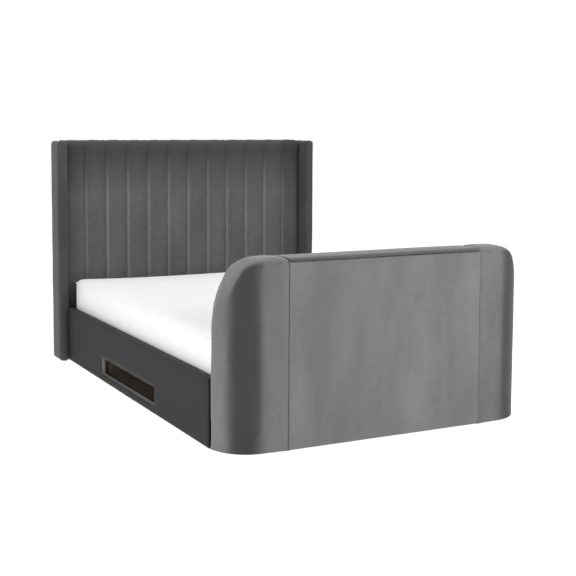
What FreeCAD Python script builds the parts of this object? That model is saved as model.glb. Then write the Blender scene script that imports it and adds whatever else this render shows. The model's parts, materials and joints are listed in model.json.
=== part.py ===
import FreeCAD, Part
import math
import os
import Sketcher
from FreeCAD import Placement, Rotation, Vector

# A winged, channelled, upholstered double bed with a television lift in its footboard.
# Frame: X to the right seen from the foot, Y from the footboard to the headboard, Z up.
# The origin is on the floor, under the middle of the bed's box. Millimetres.

doc = FreeCAD.newDocument("tv_bed")
sheet = doc.addObject("Spreadsheet::Sheet", "sizes")

DIMENSIONS = [
    # mattress and the clearances round it
    ("mattress_width", 1350), ("mattress_length", 1900), ("mattress_height", 200),
    ("side_gap", 10), ("end_gap", 10), ("mattress_corner", 50), ("mattress_fillet", 26),
    # side rails
    ("rail_board", 22), ("rail_pad", 13), ("rail_top_pad", 8), ("rail_top", 282),
    ("rail_edge", 6), ("deck_level", 235), ("joint_gap", 0.5),
    # media compartment in each rail
    ("media_length", 723), ("media_height", 85), ("media_bottom", 38),
    ("media_from_wing", 530), ("media_depth", 200), ("media_wall", 12),
    ("media_screw_head", 5), ("media_screw_rise", 2), ("media_screw_inset", 22),
    # headboard
    ("head_height", 1180), ("head_depth", 80), ("channel_count", 12), ("channel_pad", 35),
    ("channel_bottom", 240), ("channel_cap", 15), ("channel_round", 16), ("head_board", 9),
    ("head_timber", 32), ("post_width", 60), ("head_rail_height", 60), ("back_lining", 4),
    ("wing_width", 50), ("wing_proud", 80), ("wing_pad", 12.5), ("wing_round", 12),
    # footboard
    ("foot_height", 756), ("foot_depth", 165), ("foot_end_width", 268), ("plan_flat", 5),
    ("shoulder_round", 110), ("flank_round", 450), ("shoulder_turn", 60),
    ("end_pad", 12), ("end_ply", 9), ("end_panel", 15), ("front_pad", 12), ("front_board", 15),
    ("inner_pad", 10), ("inner_board", 12), ("panel_drop", 14), ("panel_cap", 6),
    ("base_board", 18), ("base_rise", 15),
    # lid over the television bay
    ("lid_board", 12), ("lid_pad", 10), ("lid_gap", 2), ("lid_side_gap", 1.5), ("lid_round", 4),
    # television lift
    ("column_width", 80), ("column_depth", 40), ("column_wall", 2.5), ("mast_gap", 2.5),
    ("mast_rise", 12), ("lift_foot_length", 240), ("lift_foot_plate", 5), ("lift_back_gap", 2),
    ("lift_front_gap", 14), ("screw_radius", 8), ("screw_end_gap", 8),
    ("screw_clearance", 0.05), ("nut_height", 30), ("nut_clearance", 0.2),
    ("crossbar_length", 480), ("crossbar_height", 34), ("crossbar_rise", 6), ("arm_width", 30),
    ("arm_plate", 5), ("arm_gap", 5.5), ("vesa_pitch", 200), ("vesa_hole", 3.2),
    ("vesa_margin", 25), ("vesa_drop", 80), ("lid_bracket_width", 30), ("lid_bracket_plate", 4),
    ("lid_bracket_offset", 170), ("lid_bracket_height", 46), ("lid_bracket_gap", 8),
    ("motor_radius", 19),
    ("motor_length", 110), ("gearbox_length", 60), ("gearbox_height", 50),
    ("control_length", 150), ("control_depth", 34), ("control_height", 70),
    ("control_offset", 200), ("control_rise", 20),
    # bed base
    ("ledge_width", 30), ("ledge_height", 30), ("slat_width", 63), ("slat_thick", 8),
    ("slat_pitch", 135), ("slat_end_gap", 5), ("cap_height", 12), ("cap_length", 40),
    ("beam_width", 50), ("beam_height", 40), ("leg_radius", 20), ("leg_foot_radius", 28),
    ("leg_foot_height", 12), ("leg_count", 3),
    # corner brackets, bolts and glides
    ("bracket_arm", 60), ("bracket_plate", 4), ("bracket_height", 110), ("bracket_bottom", 40),
    ("bolt_radius", 4), ("bolt_head_radius", 7), ("bolt_head", 5), ("bolt_inset", 35),
    ("bolt_spread", 60), ("wing_bolt_bite", 12.5), ("wing_bolts", 4), ("glide_height", 5),
    ("glide_radius", 15),
]

for row, (alias, number) in enumerate(DIMENSIONS, start=1):
    sheet.set(f"A{row}", alias)
    sheet.set(f"B{row}", str(number))
    sheet.setAlias(f"B{row}", alias)
doc.recompute()


def sz(formula):
    """The formula as FreeCAD reads it: every alias of the sheet gets the sheet's name."""
    words = []
    word = ""
    for letter in formula + " ":
        if letter.isalnum() or letter == "_":
            word += letter
            continue
        words.append(f"sizes.{word}" if word in ALIASES else word)
        words.append(letter)
        word = ""
    return "".join(words).strip()


ALIASES = {alias for alias, number in DIMENSIONS}


def number(formula):
    """What the formula comes to, as a plain number."""
    result = sheet.evalExpression(sz(formula))
    return float(getattr(result, "Value", result))


# Places along X, measured from the middle of the bed
RAIL_INNER = "(mattress_width / 2 + side_gap)"
RAIL_SKIN = f"({RAIL_INNER} + rail_board)"
RAIL_OUTER = f"({RAIL_SKIN} + rail_pad)"
WING_OUTER = f"({RAIL_OUTER} + wing_width)"
LID_HALF = f"({RAIL_OUTER} - foot_end_width)"

# Places along Y
HALF_LENGTH = "((head_depth + mattress_length + 2 * end_gap + foot_depth) / 2)"
HEAD_FACE = f"({HALF_LENGTH} - head_depth)"
WING_FRONT = f"({HEAD_FACE} - wing_proud)"
FOOT_INNER = f"(foot_depth - {HALF_LENGTH})"
FOOT_FRONT = f"(-{HALF_LENGTH})"
HEAD_BOARD_Y = f"({HEAD_FACE} + channel_pad)"
HEAD_TIMBER_Y = f"({HEAD_BOARD_Y} + head_board)"
HEAD_LINING_Y = f"({HALF_LENGTH} - back_lining)"
BAY_FRONT = f"({FOOT_FRONT} + front_pad + front_board)"
BAY_BACK = f"({FOOT_INNER} - inner_pad - inner_board)"
MEDIA_HEAD_END = f"({WING_FRONT} - media_from_wing)"

# Heights
LEDGE_TOP = "(deck_level - slat_thick - cap_height)"
HEAD_BOARD_TOP = "(head_height - channel_cap)"
BASE_TOP = "(glide_height + base_rise + base_board)"
PANEL_TOP = "(foot_height - panel_drop)"
LID_PAD_BOTTOM = f"({PANEL_TOP} + lid_gap)"
LID_BOARD_BOTTOM = f"({LID_PAD_BOTTOM} - lid_board)"
CROSSBAR_TOP = f"({LID_BOARD_BOTTOM} - lid_bracket_height)"
CROSSBAR_BOTTOM = f"({CROSSBAR_TOP} - crossbar_height)"
COLUMN_FOOT = f"({BASE_TOP} + lift_foot_plate)"
COLUMN_TOP = f"({CROSSBAR_BOTTOM} - crossbar_rise)"


def bind(thing, **formulas):
    for key, formula in formulas.items():
        thing.setExpression(key.replace("__", "."), sz(formula))
    return thing


def place(thing, x="0", y="0", z="0"):
    return bind(thing, Placement__Base__x=x, Placement__Base__y=y, Placement__Base__z=z)


def box(label, x, y, z):
    """A block between the two formulas of each of x, y and z."""
    block = doc.addObject("Part::Box", label)
    block.Label = label
    spans = [f"({high}) - ({low})" for low, high in (x, y, z)]
    bind(block, Length=spans[0], Width=spans[1], Height=spans[2])
    return place(block, x[0], y[0], z[0])


TURNS = {
    "+X": Rotation(Vector(0, 1, 0), 90), "-X": Rotation(Vector(0, 1, 0), -90),
    "+Y": Rotation(Vector(1, 0, 0), -90), "-Y": Rotation(Vector(1, 0, 0), 90),
    "+Z": Rotation(),
}


def rod(label, radius, length, towards, x, y, z):
    """A cylinder that starts at x, y, z and runs towards an axis."""
    bar = doc.addObject("Part::Cylinder", label)
    bar.Label = label
    bar.Placement = Placement(Vector(), TURNS[towards])
    bind(bar, Radius=radius, Height=length)
    return place(bar, x, y, z)


def cut(label, base, tool):
    piece = doc.addObject("Part::Cut", label)
    piece.Label = label
    piece.Base = base
    piece.Tool = tool
    return piece


def fuse(label, first, second):
    piece = doc.addObject("Part::Fuse", label)
    piece.Label = label
    piece.Base = first
    piece.Tool = second
    return piece


def group(label, pieces):
    """Like pieces that share a node, each still a solid of its own."""
    node = doc.addObject("Part::Compound", label)
    node.Label = label
    node.Links = pieces
    return node


def mirrored(label, source):
    """The right-hand twin of a left-hand piece."""
    twin = doc.addObject("Part::Mirroring", label)
    twin.Label = label
    twin.Source = source
    twin.Base = Vector(0, 0, 0)
    twin.Normal = Vector(1, 0, 0)
    return twin


def new_body(label):
    body = doc.addObject("PartDesign::Body", label)
    body.Label = label
    return body


def origin_plane(body, role):
    return next(plane for plane in body.Origin.OriginFeatures if plane.Role == role)


def arc_between(start, end, radius, bulge):
    """The short arc from start to end that bulges to the right (1) or left (-1) of the way there."""
    chord = end - start
    side = Vector(chord.y, -chord.x, 0).normalize() * bulge
    rise = math.sqrt(max(radius**2 - (chord.Length / 2) ** 2, 0))
    centre = (start + end) / 2 - side * rise
    first, last = (start, end) if bulge > 0 else (end, start)
    angles = [math.atan2(point.y - centre.y, point.x - centre.x) for point in (first, last)]
    circle = Part.Circle(centre, Vector(0, 0, 1), radius)
    return Part.ArcOfCircle(circle, angles[0], angles[1])


def outline(body, name, role, corners, offset="0"):
    """A closed sketch through the corners, in the order given, anticlockwise.

    A corner is (across, up) or (across, up, radius, bulge): the side that leaves it is then an arc.
    """
    sketch = body.newObject("Sketcher::SketchObject", name)
    sketch.AttachmentSupport = (origin_plane(body, role), [""])
    sketch.MapMode = "FlatFace"
    sketch.setExpression("AttachmentOffset.Base.z", sz(offset))
    points = [Vector(number(corner[0]), number(corner[1]), 0) for corner in corners]
    ends = []
    for index, corner in enumerate(corners):
        start, end = points[index], points[(index + 1) % len(points)]
        if len(corner) == 2:
            side = sketch.addGeometry(Part.LineSegment(start, end))
            ends.append((side, 1, 2))
            continue
        side = sketch.addGeometry(arc_between(start, end, number(corner[2]), corner[3]))
        ends.append((side, 1, 2) if corner[3] > 0 else (side, 2, 1))
        row = sketch.addConstraint(Sketcher.Constraint("Radius", side, number(corner[2])))
        sketch.setExpression(f"Constraints[{row}]", sz(corner[2]))
    for index, corner in enumerate(corners):
        side, first, last = ends[index]
        after, after_first, after_last = ends[(index + 1) % len(ends)]
        sketch.addConstraint(Sketcher.Constraint("Coincident", side, last, after, after_first))
        for kind, formula, value in zip(
            ("DistanceX", "DistanceY"), corner[:2], (points[index].x, points[index].y)
        ):
            row = sketch.addConstraint(Sketcher.Constraint(kind, -1, 1, side, first, value))
            sketch.setExpression(f"Constraints[{row}]", sz(formula))
    return sketch


def rectangle(body, name, role, across, up, offset="0"):
    corners = [(across[0], up[0]), (across[1], up[0]), (across[1], up[1]), (across[0], up[1])]
    return outline(body, name, role, corners, offset)


def pad(body, sketch, length):
    """Material along the sketch plane's own normal."""
    feature = body.newObject("PartDesign::Pad", f"{body.Name}_pad")
    feature.Profile = sketch
    feature.setExpression("Length", sz(length))
    body.Tip = feature
    return feature


def pocket(body, sketch):
    """A cut right through the body, on both sides of the sketch's plane."""
    doc.recompute()
    before = body.Tip.Shape.Volume
    feature = body.newObject("PartDesign::Pocket", f"{body.Name}_pocket")
    feature.Profile = sketch
    feature.Type = 1
    feature.Midplane = True
    body.Tip = feature
    doc.recompute()
    if feature.Shape.Volume >= before - 1:
        raise RuntimeError(f"{body.Label}: the pocket takes nothing away")
    return feature


def fillet(body, base, radius, chosen):
    """Rounds the edges of the base that the test picks."""
    doc.recompute()
    edges = [f"Edge{row}" for row, edge in enumerate(base.Shape.Edges, start=1) if chosen(edge)]
    feature = body.newObject("PartDesign::Fillet", f"{body.Name}_fillet")
    feature.Base = (base, edges)
    feature.setExpression("Radius", sz(radius))
    body.Tip = feature
    return feature


def is_along(edge, axis):
    run = edge.Vertexes[-1].Point - edge.Vertexes[0].Point
    return run.Length > 1 and abs(run.normalize().dot(axis)) > 0.999


def near(value, formula):
    return abs(value - number(formula)) < 0.01


UP = Vector(0, 0, 1)
ACROSS = Vector(1, 0, 0)
nodes = []


def keep(*pieces):
    nodes.extend(pieces)


# ---------------------------------------------------------------- bolts
def bolt(name, towards, shank, x, y, z):
    """A pan-head bolt seated at x, y, z, with its shank towards an axis and its head the other way."""
    opposite = {"+": "-", "-": "+"}[towards[0]] + towards[1]
    head = rod(f"{name}_head", "bolt_head_radius", "bolt_head", opposite, x, y, z)
    return fuse(name, head, rod(f"{name}_shank", "bolt_radius", shank, towards, x, y, z))


def corner_bolts(end, face, inwards, through):
    """The four bolts of the left-hand bracket at one end of the rail."""
    plate_x = f"bracket_plate - {RAIL_INNER}"
    plate_y = f"{face} {inwards} bracket_plate"
    made = []
    for row in (-1, 1):
        height = f"bracket_bottom + bracket_height / 2 + {row} * bolt_spread / 2"
        along_rail = bolt(f"rail_bolt_{end}_{row + 2}", "-X", "bracket_plate + rail_board",
                          plate_x, f"{face} {inwards} bolt_inset", height)
        into_end = bolt(f"end_bolt_{end}_{row + 2}", "+Y" if inwards == "-" else "-Y",
                        f"bracket_plate + {through}", f"bolt_inset - {RAIL_INNER}", plate_y, height)
        made.extend([along_rail, into_end])
    return made


def wing_bolts():
    """Bolts, evenly spaced, through the headboard post and the wing's padding into its core."""
    made = []
    middle = f"{HEAD_TIMBER_Y} + head_timber / 2"
    for row in range(int(number("wing_bolts"))):
        made.append(bolt(f"wing_bolt_{row + 1}", "-X", "post_width + wing_pad + wing_bolt_bite",
                         f"post_width - {RAIL_OUTER}", middle,
                         f"{HEAD_BOARD_TOP} * {row + 1} / (wing_bolts + 1)"))
    return made


head_corner_bolts = corner_bolts("head", HEAD_FACE, "-", "channel_pad + head_board")
foot_corner_bolts = corner_bolts("foot", FOOT_INNER, "+", "end_pad + end_ply")
left_bolts = group("left_bolts", head_corner_bolts + foot_corner_bolts + wing_bolts())
right_bolts = mirrored("right_bolts", left_bolts)
all_bolts = group("frame_bolts", [left_bolts, right_bolts])
keep(all_bolts)


# ---------------------------------------------------------------- headboard
def headboard_channel(index):
    """One padded channel: its face, and the roll that caps the board behind it."""
    body = new_body(f"headboard_channel_{index + 1:02d}")
    corners = [
        (HEAD_FACE, "channel_bottom"),
        (f"{HEAD_FACE} + channel_pad", "channel_bottom"),
        (f"{HEAD_FACE} + channel_pad", HEAD_BOARD_TOP),
        (HEAD_LINING_Y, HEAD_BOARD_TOP),
        (HEAD_LINING_Y, "head_height"),
        (HEAD_FACE, "head_height"),
    ]
    start = f"(2 * {RAIL_OUTER} * {index} / channel_count - {RAIL_OUTER})"
    sketch = outline(body, f"channel_outline_{index + 1}", "YZ_Plane", corners, start)
    block = pad(body, sketch, f"2 * {RAIL_OUTER} / channel_count")

    def on_face(edge):
        middle = edge.CenterOfMass
        if not near(middle.y, HEAD_FACE):
            return False
        return is_along(edge, UP) or (is_along(edge, ACROSS) and near(middle.z, "head_height"))

    fillet(body, block, "channel_round", on_face)
    keep(body)


for index in range(int(number("channel_count"))):
    headboard_channel(index)

FULL_WIDTH = (f"-{RAIL_OUTER}", RAIL_OUTER)

lower_pad = box("lower_pad_blank", FULL_WIDTH, (HEAD_FACE, HEAD_BOARD_Y),
                ("glide_height", "channel_bottom - joint_gap"))
keep(cut("headboard_lower_pad", lower_pad, all_bolts))

board = box("headboard_board_blank", FULL_WIDTH, (HEAD_BOARD_Y, HEAD_TIMBER_Y),
            ("glide_height", HEAD_BOARD_TOP))
keep(cut("headboard_board", board, all_bolts))

TIMBER_DEPTH = (HEAD_TIMBER_Y, HEAD_LINING_Y)
left_post = box("left_post_blank", (f"-{RAIL_OUTER}", f"post_width - {RAIL_OUTER}"), TIMBER_DEPTH,
                ("glide_height", HEAD_BOARD_TOP))
left_post = cut("left_post", left_post, left_bolts)
keep(group("headboard_posts", [left_post, mirrored("right_post", left_post)]))

cross_rails = []
for row in range(3):
    low = f"(glide_height + {row} * ({HEAD_BOARD_TOP} - glide_height - head_rail_height) / 2)"
    cross_rails.append(box(f"cross_rail_{row + 1}",
                           (f"post_width - {RAIL_OUTER}", f"{RAIL_OUTER} - post_width"),
                           TIMBER_DEPTH, (low, f"{low} + head_rail_height")))
keep(group("headboard_cross_rails", cross_rails))

keep(box("headboard_back_lining", FULL_WIDTH, (HEAD_LINING_Y, HALF_LENGTH),
         ("glide_height", "head_height")))


def wing():
    """The left wing: a board core bolted to the post, in a padded cover open underneath."""
    core_x = (f"wing_pad - {WING_OUTER}", f"-{RAIL_OUTER} - wing_pad")
    core_y = (f"{WING_FRONT} + wing_pad", f"{HALF_LENGTH} - wing_pad")
    core = box("wing_core_blank", core_x, core_y, ("glide_height", "head_height - wing_pad"))
    keep(cut("wing_core_left", core, left_bolts))

    body = new_body("wing_cover_blank")
    sketch = rectangle(body, "wing_outline", "XY_Plane", (f"-{WING_OUTER}", f"-{RAIL_OUTER}"),
                       (WING_FRONT, HALF_LENGTH), "glide_height")
    block = pad(body, sketch, "head_height - glide_height")

    def on_show(edge):
        middle = edge.CenterOfMass
        front = near(middle.y, WING_FRONT)
        back_outer = near(middle.y, HALF_LENGTH) and near(middle.x, f"-{WING_OUTER}")
        return (is_along(edge, UP) and (front or back_outer)) or near(middle.z, "head_height")

    fillet(body, block, "wing_round", on_show)
    hollow = box("wing_hollow", core_x, core_y, ("0", "head_height - wing_pad"))
    keep(cut("wing_cover_left", cut("wing_cover_hollowed", body, hollow), left_bolts))


wing()

# ---------------------------------------------------------------- side rails
RAIL_RUN = (f"{FOOT_INNER} + joint_gap", f"{HEAD_FACE} - joint_gap")
MEDIA_RUN = (f"{MEDIA_HEAD_END} - media_length", MEDIA_HEAD_END)
MEDIA_RISE = ("media_bottom", "media_bottom + media_height")


def media_mouth(label):
    """The block that both the rail board and its cover are cut away by."""
    return box(label, (f"-{RAIL_OUTER} - rail_pad", f"rail_board - {RAIL_INNER}"),
               MEDIA_RUN, MEDIA_RISE)


def side_rail():
    """The left rail's board and its padded cover, which folds over the board's top edge."""
    board = box("rail_board_blank", (f"-{RAIL_SKIN}", f"-{RAIL_INNER}"), RAIL_RUN,
                ("glide_height", "rail_top - rail_top_pad"))
    board = cut("rail_board_opened", board, media_mouth("board_mouth"))
    keep(cut("rail_board_left", board, left_bolts))

    body = new_body("rail_cover_left")
    corners = [
        (f"-{RAIL_OUTER}", "glide_height"),
        (f"-{RAIL_SKIN}", "glide_height"),
        (f"-{RAIL_SKIN}", "rail_top - rail_top_pad"),
        (f"-{RAIL_INNER}", "rail_top - rail_top_pad"),
        (f"-{RAIL_INNER}", "rail_top"),
        (f"-{RAIL_OUTER}", "rail_top"),
    ]
    sketch = outline(body, "rail_cover_outline", "XZ_Plane", corners, f"-({RAIL_RUN[1]})")
    block = pad(body, sketch, f"{RAIL_RUN[1]} - ({RAIL_RUN[0]})")

    def top_outer(edge):
        middle = edge.CenterOfMass
        return near(middle.z, "rail_top") and near(middle.x, f"-{RAIL_OUTER}")

    fillet(body, block, "rail_edge", top_outer)
    mouth = rectangle(body, "rail_cover_mouth", "YZ_Plane", MEDIA_RUN, MEDIA_RISE)
    pocket(body, mouth)
    keep(body)


def media_compartment():
    """The left compartment: five boards in one open-mouthed box, with two screws in its head end."""
    inside_x = (f"-{RAIL_INNER}", f"media_depth - {RAIL_INNER}")
    shell = box("media_shell", (inside_x[0], f"{inside_x[1]} + media_wall"),
                (f"{MEDIA_RUN[0]} - media_wall", f"{MEDIA_RUN[1]} + media_wall"),
                ("media_bottom - media_wall", f"{MEDIA_RISE[1]} + media_wall"))
    space = box("media_space", (f"-{RAIL_INNER} - media_wall", inside_x[1]), MEDIA_RUN, MEDIA_RISE)
    keep(cut("media_box_left", shell, space))
    heads = []
    for row in (-1, 1):
        heads.append(rod(f"media_screw_{row + 2}", "media_screw_head", "media_screw_rise", "-Y",
                         f"media_screw_inset - {RAIL_INNER}", MEDIA_HEAD_END,
                         f"media_bottom + media_height / 2 + {row} * media_height / 3.5"))
    return group("left_media_screws", heads)


side_rail()
left_media_screws = media_compartment()
keep(group("media_box_screws",
           [left_media_screws, mirrored("right_media_screws", left_media_screws)]))

# ---------------------------------------------------------------- bed base
keep(box("slat_ledge_left", (f"-{RAIL_INNER}", f"ledge_width - {RAIL_INNER}"),
         (f"{RAIL_RUN[0]} + bracket_arm", f"{RAIL_RUN[1]} - bracket_arm"),
         (f"{LEDGE_TOP} - ledge_height", LEDGE_TOP)))
keep(box("centre_beam", ("-beam_width / 2", "beam_width / 2"), RAIL_RUN,
         (f"{LEDGE_TOP} - beam_height", LEDGE_TOP)))

legs = []
LEG_COUNT = int(number("leg_count"))
for row in range(LEG_COUNT):
    along = f"{FOOT_INNER} + (mattress_length + 2 * end_gap) * {row + 1} / {LEG_COUNT + 1}"
    shaft = rod(f"leg_shaft_{row + 1}", "leg_radius",
                f"{LEDGE_TOP} - beam_height - leg_foot_height", "+Z", "0", along, "leg_foot_height")
    foot = rod(f"leg_foot_{row + 1}", "leg_foot_radius", "leg_foot_height", "+Z", "0", along, "0")
    legs.append(fuse(f"leg_{row + 1}", shaft, foot))
keep(group("centre_legs", legs))


def slat_rows():
    """The left row of slats, and the caps that hold their two ends."""
    slats = []
    caps = []
    outer_end = f"slat_end_gap - {RAIL_INNER}"
    inner_end = "-slat_end_gap"
    count = int(number("mattress_length / slat_pitch"))
    for row in range(count):
        middle = f"({HEAD_FACE} + {FOOT_INNER}) / 2 + ({row} - {count - 1} / 2) * slat_pitch"
        slat_y = (f"{middle} - slat_width / 2", f"{middle} + slat_width / 2")
        slats.append(box(f"slat_{row + 1}", (outer_end, inner_end), slat_y,
                         ("deck_level - slat_thick", "deck_level")))
        cap_z = (LEDGE_TOP, "deck_level - slat_thick")
        caps.append(box(f"rail_cap_{row + 1}", (outer_end, f"{outer_end} + cap_length"),
                        slat_y, cap_z))
        caps.append(box(f"beam_cap_{row + 1}", (f"{inner_end} - cap_length", inner_end),
                        slat_y, cap_z))
    return group("slats_left", slats), group("left_slat_caps", caps)


slats_left, left_slat_caps = slat_rows()
keep(slats_left)
keep(group("slat_caps", [left_slat_caps, mirrored("right_slat_caps", left_slat_caps)]))


def corner_bracket(name, face, inwards):
    """An angle plate between the left rail's inner face and one end of the bed."""
    heights = ("bracket_bottom", "bracket_bottom + bracket_height")
    reach = [face, f"{face} {inwards} bracket_arm"]
    plate = [face, f"{face} {inwards} bracket_plate"]
    if inwards == "-":
        reach.reverse()
        plate.reverse()
    on_rail = box(f"{name}_rail_arm", (f"-{RAIL_INNER}", f"bracket_plate - {RAIL_INNER}"), reach, heights)
    on_end = box(f"{name}_end_arm", (f"-{RAIL_INNER}", f"bracket_arm - {RAIL_INNER}"), plate, heights)
    return cut(name, fuse(f"{name}_angle", on_rail, on_end), left_bolts)


left_brackets = group("left_brackets", [corner_bracket("head_bracket", HEAD_FACE, "-"),
                                        corner_bracket("foot_bracket", FOOT_INNER, "+")])
keep(group("rail_brackets", [left_brackets, mirrored("right_brackets", left_brackets)]))


def mattress():
    body = new_body("mattress")
    sketch = rectangle(body, "mattress_outline", "XY_Plane",
                       ("-mattress_width / 2", "mattress_width / 2"),
                       (f"{FOOT_INNER} + end_gap", f"{HEAD_FACE} - end_gap"), "deck_level")
    block = pad(body, sketch, "mattress_height")
    rounded = fillet(body, block, "mattress_corner", lambda edge: is_along(edge, UP))
    fillet(body, rounded, "mattress_fillet", lambda edge: not is_along(edge, UP))
    keep(body)


mattress()


# ---------------------------------------------------------------- footboard ends
def end_form(name, inset, open_sides):
    """The left end of the footboard as a solid, with every outer face drawn in by the inset.

    Seen from the front its top rolls down to the side in a tight shoulder and a long flank;
    seen from above its front corner is a quarter circle. With open_sides it runs on past the
    bay and the floor, so that cutting it out of a larger form leaves a shell open there.
    """
    body = new_body(name)
    side = f"(-{RAIL_OUTER} + {inset})"
    top = f"(foot_height - {inset})"
    shoulder = f"(shoulder_round - {inset})"
    flank = f"(flank_round - {inset})"
    turn = "(shoulder_turn * 1 deg)"
    flank_x = f"({side} + {flank})"
    shoulder_x = f"({flank_x} - ({flank} - {shoulder}) * sin{turn})"
    shoulder_z = f"({top} - {shoulder})"
    flank_z = f"({shoulder_z} - ({flank} - {shoulder}) * cos{turn})"
    bay_side = f"-{LID_HALF} + {inset}" if open_sides else f"-{LID_HALF}"
    bottom = "0" if open_sides else "glide_height"
    corners = [
        (side, bottom),
        (bay_side, bottom),
        (bay_side, top),
        (shoulder_x, top, shoulder, 1),
        (f"{shoulder_x} - {shoulder} * sin{turn}", f"{shoulder_z} + {shoulder} * cos{turn}", flank, 1),
        (side, flank_z),
    ]
    sketch = outline(body, f"{name}_elevation", "XZ_Plane", corners, f"-{FOOT_INNER} + {inset}")
    pad(body, sketch, f"foot_depth - 2 * {inset}")
    front = f"({FOOT_FRONT} + {inset})"
    radius = f"(foot_depth - plan_flat - {inset})"
    corner_cut = [
        (f"{side} - 10", f"{front} - 10"),
        (f"{side} + {radius}", f"{front} - 10"),
        (f"{side} + {radius}", front, radius, -1),
        (side, f"{front} + {radius}"),
        (f"{side} - 10", f"{front} + {radius}"),
    ]
    plan = outline(body, f"{name}_plan", "XY_Plane", corner_cut, "-10")
    pocket(body, plan)
    return body


outer_form = end_form("end_outer_form", "0", False)
pad_form = end_form("end_pad_form", "end_pad", True)
ply_blank = end_form("end_ply_blank", "end_pad", False)
ply_form = end_form("end_ply_form", "(end_pad + end_ply)", True)
keep(cut("foot_end_cover_left", cut("end_cover_shell", outer_form, pad_form), left_bolts))
keep(cut("foot_end_shell_left", cut("end_ply_shell", ply_blank, ply_form), left_bolts))

END_DEPTH = (f"{FOOT_FRONT} + end_pad + end_ply", f"{FOOT_INNER} - end_pad - end_ply")
left_end_panel = box("left_end_panel", (f"-{LID_HALF} - end_panel", f"-{LID_HALF}"), END_DEPTH,
                     ("glide_height", "foot_height - end_pad - end_ply"))
keep(group("foot_end_panels", [left_end_panel, mirrored("right_end_panel", left_end_panel)]))

# ---------------------------------------------------------------- footboard bay
BAY_WIDTH = (f"-{LID_HALF}", LID_HALF)
PANEL_RISE = ("glide_height", f"{PANEL_TOP} - panel_cap")


def panel_cover(label, outer, inner, board_far):
    """A padded panel cover that folds over the top edge of the board behind it."""
    body = new_body(label)
    corners = [
        (outer, "glide_height"), (inner, "glide_height"), (inner, PANEL_RISE[1]),
        (board_far, PANEL_RISE[1]), (board_far, PANEL_TOP), (outer, PANEL_TOP),
    ]
    sketch = outline(body, f"{label}_outline", "YZ_Plane", corners, f"-{LID_HALF}")
    pad(body, sketch, f"2 * {LID_HALF}")
    keep(body)


keep(box("foot_front_board", BAY_WIDTH, (f"{FOOT_FRONT} + front_pad", BAY_FRONT), PANEL_RISE))
panel_cover("foot_front_cover", FOOT_FRONT, f"{FOOT_FRONT} + front_pad", BAY_FRONT)
keep(box("foot_inner_board", BAY_WIDTH, (BAY_BACK, f"{FOOT_INNER} - inner_pad"), PANEL_RISE))
panel_cover("foot_inner_cover", FOOT_INNER, f"{FOOT_INNER} - inner_pad", BAY_BACK)
keep(box("foot_base_board", BAY_WIDTH, (BAY_FRONT, BAY_BACK),
         ("glide_height + base_rise", BASE_TOP)))

# ---------------------------------------------------------------- lid
LID_LENGTH = (f"lid_side_gap - {LID_HALF}", f"{LID_HALF} - lid_side_gap")
keep(box("lid_board", LID_LENGTH, (f"{BAY_FRONT} + lid_gap", f"{BAY_BACK} - lid_gap"),
         (LID_BOARD_BOTTOM, LID_PAD_BOTTOM)))


def lid_cover():
    body = new_body("lid_cover")
    sketch = rectangle(body, "lid_outline", "XY_Plane", LID_LENGTH, (FOOT_FRONT, FOOT_INNER),
                       LID_PAD_BOTTOM)
    block = pad(body, sketch, "lid_pad")

    def upper(edge):
        return near(edge.CenterOfMass.z, f"{LID_PAD_BOTTOM} + lid_pad")

    fillet(body, block, "lid_round", upper)
    keep(body)


lid_cover()

# ---------------------------------------------------------------- television lift
LIFT_Y = f"({BAY_FRONT} + lift_back_gap + column_depth / 2)"
MAST_HALF_X = "(column_width / 2 - column_wall - mast_gap)"
MAST_HALF_Y = "(column_depth / 2 - column_wall - mast_gap)"
MAST_BOTTOM = f"({COLUMN_FOOT} + mast_rise)"
CROSSBAR_FRONT = f"({LIFT_Y} + column_depth / 2 + arm_gap)"


def tube(label, half_x, half_y, wall, bottom, top):
    outside = box(f"{label}_outside", (f"-{half_x}", half_x),
                  (f"{LIFT_Y} - {half_y}", f"{LIFT_Y} + {half_y}"), (bottom, top))
    inside = box(f"{label}_inside", (f"-{half_x} + {wall}", f"{half_x} - {wall}"),
                 (f"{LIFT_Y} - {half_y} + {wall}", f"{LIFT_Y} + {half_y} - {wall}"), (bottom, top))
    return cut(label, outside, inside)


def lift_column():
    """The fixed outer tube, welded to the plate that is screwed to the base board."""
    plate = box("lift_foot_plate", ("-lift_foot_length / 2", "lift_foot_length / 2"),
                (f"{BAY_FRONT} + lift_back_gap", f"{BAY_BACK} - lift_front_gap"),
                (BASE_TOP, COLUMN_FOOT))
    upright = tube("column_tube", "(column_width / 2)", "(column_depth / 2)", "column_wall",
                   COLUMN_FOOT, COLUMN_TOP)
    keep(fuse("lift_column", plate, upright))


def lift_screw_and_nut():
    """The lead screw turns in the column; its nut is fixed in the foot of the mast."""
    keep(rod("lift_screw", "screw_radius", f"{COLUMN_TOP} - {COLUMN_FOOT} - screw_end_gap", "+Z",
             "0", LIFT_Y, COLUMN_FOOT))
    half_x = f"({MAST_HALF_X} - column_wall - nut_clearance)"
    half_y = f"({MAST_HALF_Y} - column_wall - nut_clearance)"
    block = box("lift_nut_block", (f"-{half_x}", half_x),
                (f"{LIFT_Y} - {half_y}", f"{LIFT_Y} + {half_y}"),
                (MAST_BOTTOM, f"{MAST_BOTTOM} + nut_height"))
    bore = rod("lift_nut_bore", "screw_radius + screw_clearance", "nut_height + 2", "+Z",
               "0", LIFT_Y, f"{MAST_BOTTOM} - 1")
    keep(cut("lift_nut", block, bore))


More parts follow.
